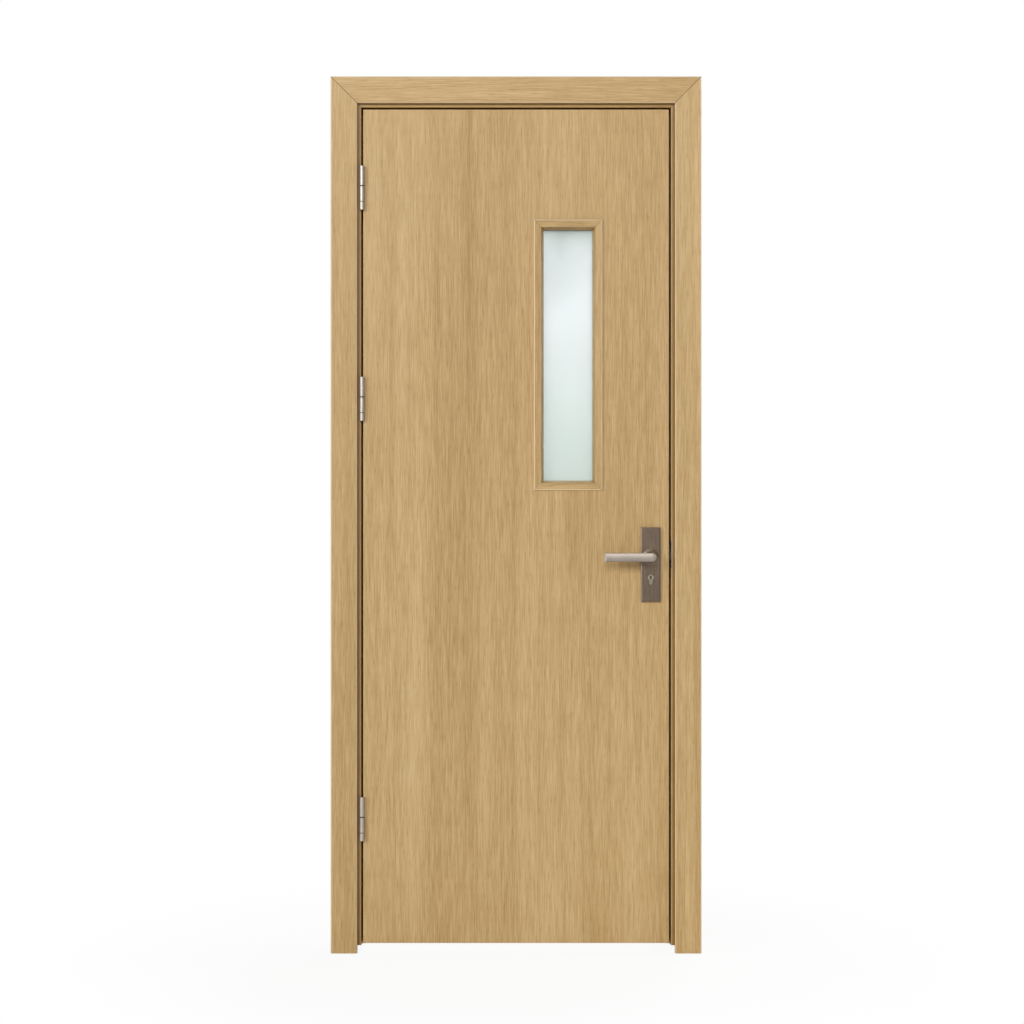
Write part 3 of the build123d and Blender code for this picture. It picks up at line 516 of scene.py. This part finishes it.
def screw_tree():
    """Raised countersunk heads with a cross recess, one on each point, turned at random about its axis."""
    tree = bpy.data.node_groups.new("countersunk_screws", "GeometryNodeTree")
    face = tree.interface
    face.new_socket("Places", in_out="INPUT", socket_type="NodeSocketGeometry")
    for name in ("Dome", "Recess Length", "Recess Width", "Recess Depth"):
        face.new_socket(name, in_out="INPUT", socket_type="NodeSocketFloat")
    face.new_socket("Seed", in_out="INPUT", socket_type="NodeSocketInt")
    face.new_socket("Finish", in_out="INPUT", socket_type="NodeSocketMaterial")
    face.new_socket("Screws", in_out="OUTPUT", socket_type="NodeSocketGeometry")
    given = node(tree, "NodeGroupInput").outputs
    ball = node(
        tree,
        "GeometryNodeMeshUVSphere",
        {"Segments": HEAD_SEGMENTS, "Rings": HEAD_RINGS, "Radius": 0.5},
    )
    flat = node(tree, "ShaderNodeCombineXYZ", {"X": 1.0, "Y": 1.0, "Z": given["Dome"]})
    head = node(tree, "GeometryNodeTransform", {"Geometry": ball, "Scale": flat})
    top = node(tree, "ShaderNodeMath", {0: given["Dome"], 1: 0.5}, operation="MULTIPLY")
    lift = node(tree, "ShaderNodeCombineXYZ", {"Z": top})
    height = node(tree, "ShaderNodeMath", {0: given["Recess Depth"], 1: 2.0}, operation="MULTIPLY")
    bars = []
    for x, y in (("Recess Length", "Recess Width"), ("Recess Width", "Recess Length")):
        size = node(tree, "ShaderNodeCombineXYZ", {"X": given[x], "Y": given[y], "Z": height})
        bar = node(tree, "GeometryNodeMeshCube", {"Size": size})
        bars.append(node(tree, "GeometryNodeTransform", {"Geometry": bar, "Translation": lift}))
    cross = node(tree, "GeometryNodeMeshBoolean", {"Mesh 2": bars[0]}, operation="UNION", solver="EXACT")
    tree.links.new(bars[1].outputs[0], cross.inputs["Mesh 2"])
    cut = node(
        tree,
        "GeometryNodeMeshBoolean",
        {"Mesh 1": head, "Mesh 2": cross},
        operation="DIFFERENCE",
        solver="EXACT",
    )
    facing = node(tree, "GeometryNodeInputNamedAttribute", {"Name": "facing"}, data_type="FLOAT_VECTOR")
    diameter = node(tree, "GeometryNodeInputNamedAttribute", {"Name": "diameter"}, data_type="FLOAT")
    aim = node(tree, "FunctionNodeAlignRotationToVector", {"Vector": facing}, axis="Z")
    spin = node(
        tree, "FunctionNodeRandomValue", {2: 0.0, 3: pi, "Seed": given["Seed"]}, data_type="FLOAT"
    )
    turn = node(tree, "FunctionNodeAxisAngleToRotation", {"Axis": (0, 0, 1), "Angle": spin.outputs[1]})
    stance = node(
        tree, "FunctionNodeRotateRotation", {"Rotation": aim, "Rotate By": turn}, rotation_space="LOCAL"
    )
    placed = node(
        tree,
        "GeometryNodeInstanceOnPoints",
        {"Points": given["Places"], "Instance": cut, "Rotation": stance, "Scale": diameter},
    )
    real = node(tree, "GeometryNodeRealizeInstances", {"Geometry": placed})
    dressed = node(tree, "GeometryNodeSetMaterial", {"Geometry": real, "Material": given["Finish"]})
    node(tree, "NodeGroupOutput", {"Screws": dressed})
    return tree


SCREWS = screw_tree()

# Sizes of a head of diameter 1, and the seed of its turns
SCREW_SIZES = {"Dome": 0.16, "Recess Length": 0.62, "Recess Width": 0.16, "Recess Depth": 0.1, "Seed": 7}


def screws(name, body, places):
    """One mesh of screw heads on a body; places are (point, facing, diameter)."""
    mesh = bpy.data.meshes.new(name)
    mesh.from_pydata([point for point, facing, diameter in places], [], [])
    facings = mesh.attributes.new("facing", "FLOAT_VECTOR", "POINT")
    facings.data.foreach_set("vector", [c for point, facing, diameter in places for c in facing])
    diameters = mesh.attributes.new("diameter", "FLOAT", "POINT")
    diameters.data.foreach_set("value", [diameter for point, facing, diameter in places])
    piece = bpy.data.objects.new(name, mesh)
    bpy.context.scene.collection.objects.link(piece)
    making = piece.modifiers.new("screws", "NODES")
    making.node_group = SCREWS
    sockets = [item for item in SCREWS.interface.items_tree if item.in_out == "INPUT"]
    identifiers = {socket.name: socket.identifier for socket in sockets}
    for label, value in SCREW_SIZES.items():
        making[identifiers[label]] = value
    making[identifiers["Finish"]] = FINISHES["screws"]
    ready = piece.evaluated_get(bpy.context.evaluated_depsgraph_get())
    plain = bpy.data.meshes.new_from_object(ready)
    piece.modifiers.clear()
    piece.data = plain
    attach(piece, body)


leaf_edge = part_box("leaf_hinge_stile")[0].x
rebate = 2 * swing["pos_m"][0] - leaf_edge
leaf_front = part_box("leaf_front_skin")[0].y
forend_low, forend_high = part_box("mortise_lock")
lock_y = (forend_low.y + forend_high.y) / 2
strike_low, strike_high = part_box("strike_plate")
plate_low, plate_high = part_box("back_handle_plate")
plate_x = (plate_low.x + plate_high.x) / 2
plate_face = plate_high.y - COLLAR_HEIGHT
cylinder_low, cylinder_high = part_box("cylinder_plug")
cylinder_z = (cylinder_low.z + cylinder_high.z) / 2

leaf_places = []
frame_places = []
for level in ("upper", "middle", "lower"):
    low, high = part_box(level + "_hinge_frame_half")
    rows = (low.z + 2 * SCREW_EDGE, low.z + 4 * SCREW_EDGE, high.z - 2 * SCREW_EDGE)
    for row, column in zip(rows, FLAP_COLUMNS):
        depth = leaf_front + FLAP_DEPTH * column
        frame_places.append(((rebate, depth, row), (1, 0, 0), HINGE_SCREW))
        leaf_places.append(((leaf_edge, depth, row), (-1, 0, 0), HINGE_SCREW))
for row in (forend_low.z + SCREW_EDGE, cylinder_z, forend_high.z - SCREW_EDGE):
    leaf_places.append(((forend_high.x, lock_y, row), (1, 0, 0), LOCK_SCREW))
for row in (strike_low.z + SCREW_EDGE, strike_high.z - SCREW_EDGE):
    frame_places.append(((strike_low.x, lock_y, row), (-1, 0, 0), LOCK_SCREW))
for row in (plate_low.z + 2 * SCREW_EDGE, plate_high.z - 2 * SCREW_EDGE):
    leaf_places.append(((plate_x, plate_face, row), (0, 1, 0), PLATE_SCREW))
screws("leaf_screws", "leaf", leaf_places)
screws("frame_screws", "frame", frame_places)


def shown_white(tree):
    """1 for what the camera sees, also through the glass, less in a reflection, 0 for light on surfaces."""
    seen = node(tree, "ShaderNodeLightPath").outputs
    direct = node(
        tree,
        "ShaderNodeMath",
        {0: seen["Is Camera Ray"], 1: seen["Is Transmission Ray"]},
        operation="MAXIMUM",
    )
    mirrored = node(
        tree, "ShaderNodeMath", {0: seen["Is Glossy Ray"], 1: MIRROR_SHARE}, operation="MULTIPLY"
    )
    return node(tree, "ShaderNodeMath", {0: direct, 1: mirrored}, operation="MAXIMUM")


def studio():
    """Pale floor, soft light from the upper left with lamps for back and right, white surround, camera."""
    scene = bpy.context.scene
    middle = (solid_low + solid_high) / 2
    mesh = bpy.data.meshes.new("floor")
    half = FLOOR_SPAN / 2
    corners = [(-half, -half), (half, -half), (half, half), (-half, half)]
    mesh.from_pydata([(x, y, solid_low.z) for x, y in corners], [], [(0, 1, 2, 3)])
    floor = bpy.data.objects.new("floor", mesh)
    scene.collection.objects.link(floor)
    pale = bpy.data.materials.new("pale_studio_floor")
    pale.use_nodes = True
    tree = pale.node_tree
    spot = node(tree, "ShaderNodeTexCoord").outputs["Object"]
    foot = (middle.x, middle.y, solid_low.z)
    away = node(tree, "ShaderNodeVectorMath", {0: spot, 1: foot}, operation="DISTANCE").outputs["Value"]
    glow = node(
        tree,
        "ShaderNodeMapRange",
        {
            "Value": away,
            "From Min": SHADOW_REACH[0],
            "From Max": SHADOW_REACH[1],
            "To Min": FLOOR_GLOW,
            "To Max": 1.0,
        },
        interpolation_type="SMOOTHSTEP",
    )
    share = node(tree, "ShaderNodeMath", {0: shown_white(tree), 1: glow}, operation="MULTIPLY")
    paint = node(tree, "ShaderNodeBsdfDiffuse", {"Color": linear("#F4F4F4")})
    white = node(tree, "ShaderNodeEmission", {"Strength": 1.0})
    mixed = node(tree, "ShaderNodeMixShader", {0: share, 1: paint, 2: white})
    tree.links.new(mixed.outputs[0], tree.nodes["Material Output"].inputs["Surface"])
    mesh.materials.append(pale)

    world = bpy.data.worlds.new("white_surround")
    world.use_nodes = True
    scene.world = world
    tree = world.node_tree
    fill = node(tree, "ShaderNodeBackground", {"Color": linear("#FFFFFF"), "Strength": FILL_STRENGTH})
    white = node(tree, "ShaderNodeBackground", {"Color": linear("#FFFFFF"), "Strength": 1.0})
    mixed = node(tree, "ShaderNodeMixShader", {0: shown_white(tree), 1: fill, 2: white})
    tree.links.new(mixed.outputs[0], tree.nodes["World Output"].inputs["Surface"])

    for name, (turn, rise, distance, size, watts) in LAMPS.items():
        lamp = bpy.data.lights.new(name, "AREA")
        lamp.energy = watts
        lamp.size = size
        level = cos(radians(rise))
        way = Vector((sin(radians(turn)) * level, -cos(radians(turn)) * level, sin(radians(rise))))
        holder = bpy.data.objects.new(name, lamp)
        holder.location = middle + way * distance
        holder.rotation_euler = way.to_track_quat("Z", "Y").to_euler()
        holder.visible_camera = False
        scene.collection.objects.link(holder)

    lens = bpy.data.cameras.new("camera")
    lens.sensor_width = SENSOR
    lens.lens = SENSOR * CAMERA_DISTANCE / FRAME_SPAN
    camera = bpy.data.objects.new("camera", lens)
    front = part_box("front_architrave_head")[0].y
    camera.location = (CAMERA_X, front - CAMERA_DISTANCE, CAMERA_Z)
    camera.rotation_euler = Vector((0, 1, 0)).to_track_quat("-Z", "Z").to_euler()
    scene.collection.objects.link(camera)
    scene.camera = camera
    scene.view_settings.view_transform = "Standard"


studio()
